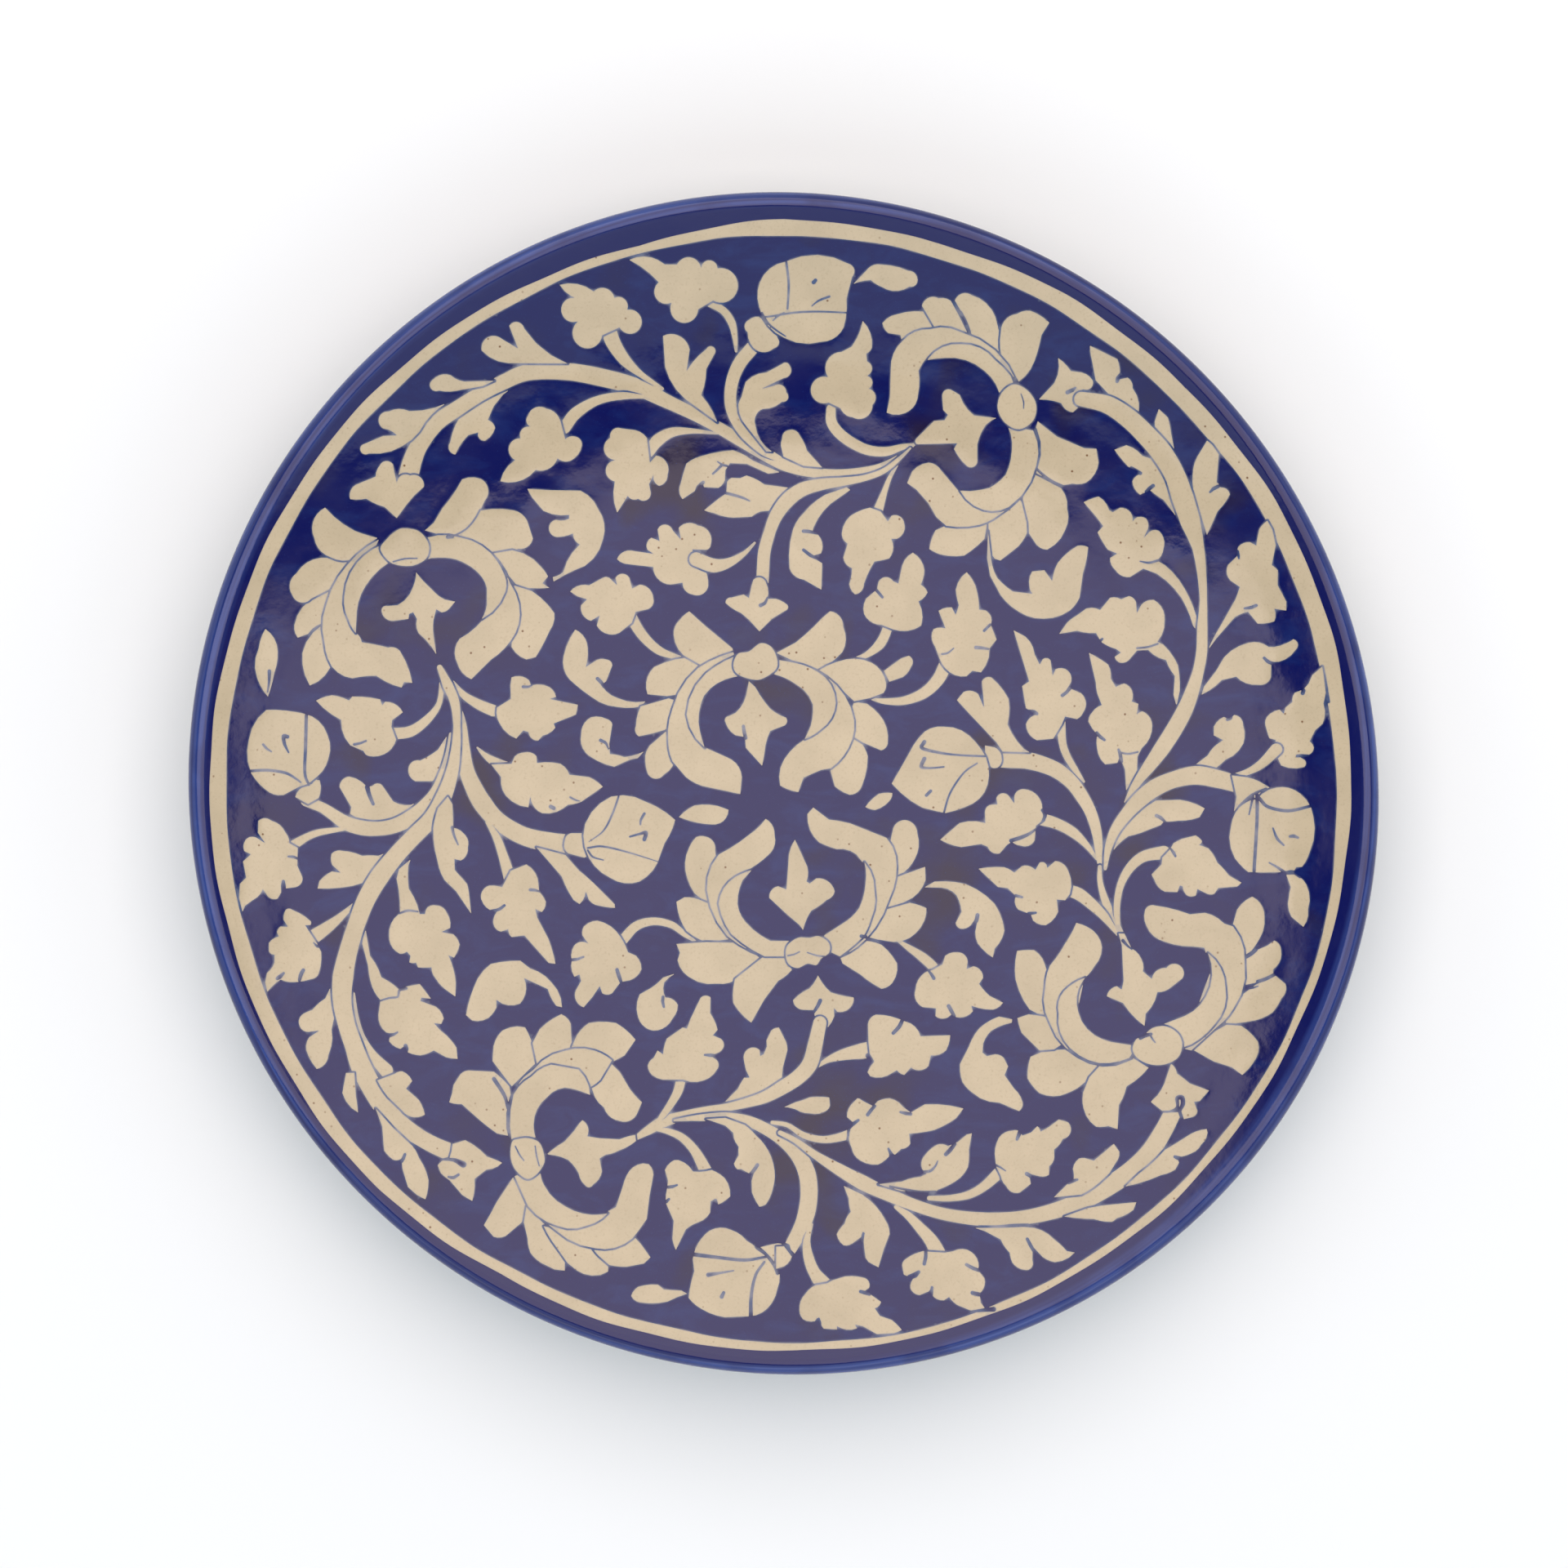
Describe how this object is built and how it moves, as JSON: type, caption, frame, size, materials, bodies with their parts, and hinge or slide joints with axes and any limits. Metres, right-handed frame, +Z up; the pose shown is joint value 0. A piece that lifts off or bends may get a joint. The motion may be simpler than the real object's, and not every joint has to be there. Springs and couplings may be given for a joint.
{
  "type": "hand painted ceramic plate",
  "caption": "Round shallow coupe plate with a foot ring, blue glaze and cream reserved lotus and scrolling leaf ornament.",
  "frame": {"origin": "centre of the foot ring's resting face, on the surface the plate stands on", "axes": "+Z up along the plate's turning axis, out of its painted face; +Y towards the top of the ornament"},
  "size_m": [0.301, 0.299, 0.034],
  "materials": {
    "dish_clay": "bare fired earthenware, matt, fine turning marks and grog specks",
    "foot_clay": "bare fired earthenware, matt, worn on the resting face",
    "painted_glaze": "glossy clear glaze over a brushed cobalt ground with cream reserved ornament and thin blue contour lines",
    "plain_glaze": "glossy clear glaze over cream slip with fine iron specks and faint throwing rings"
  },
  "bodies": {
    "root": {"clay_dish": "dish_clay", "foot_ring": "foot_clay", "face_glaze": "painted_glaze", "back_glaze": "plain_glaze"}
  },
  "joints": []
}
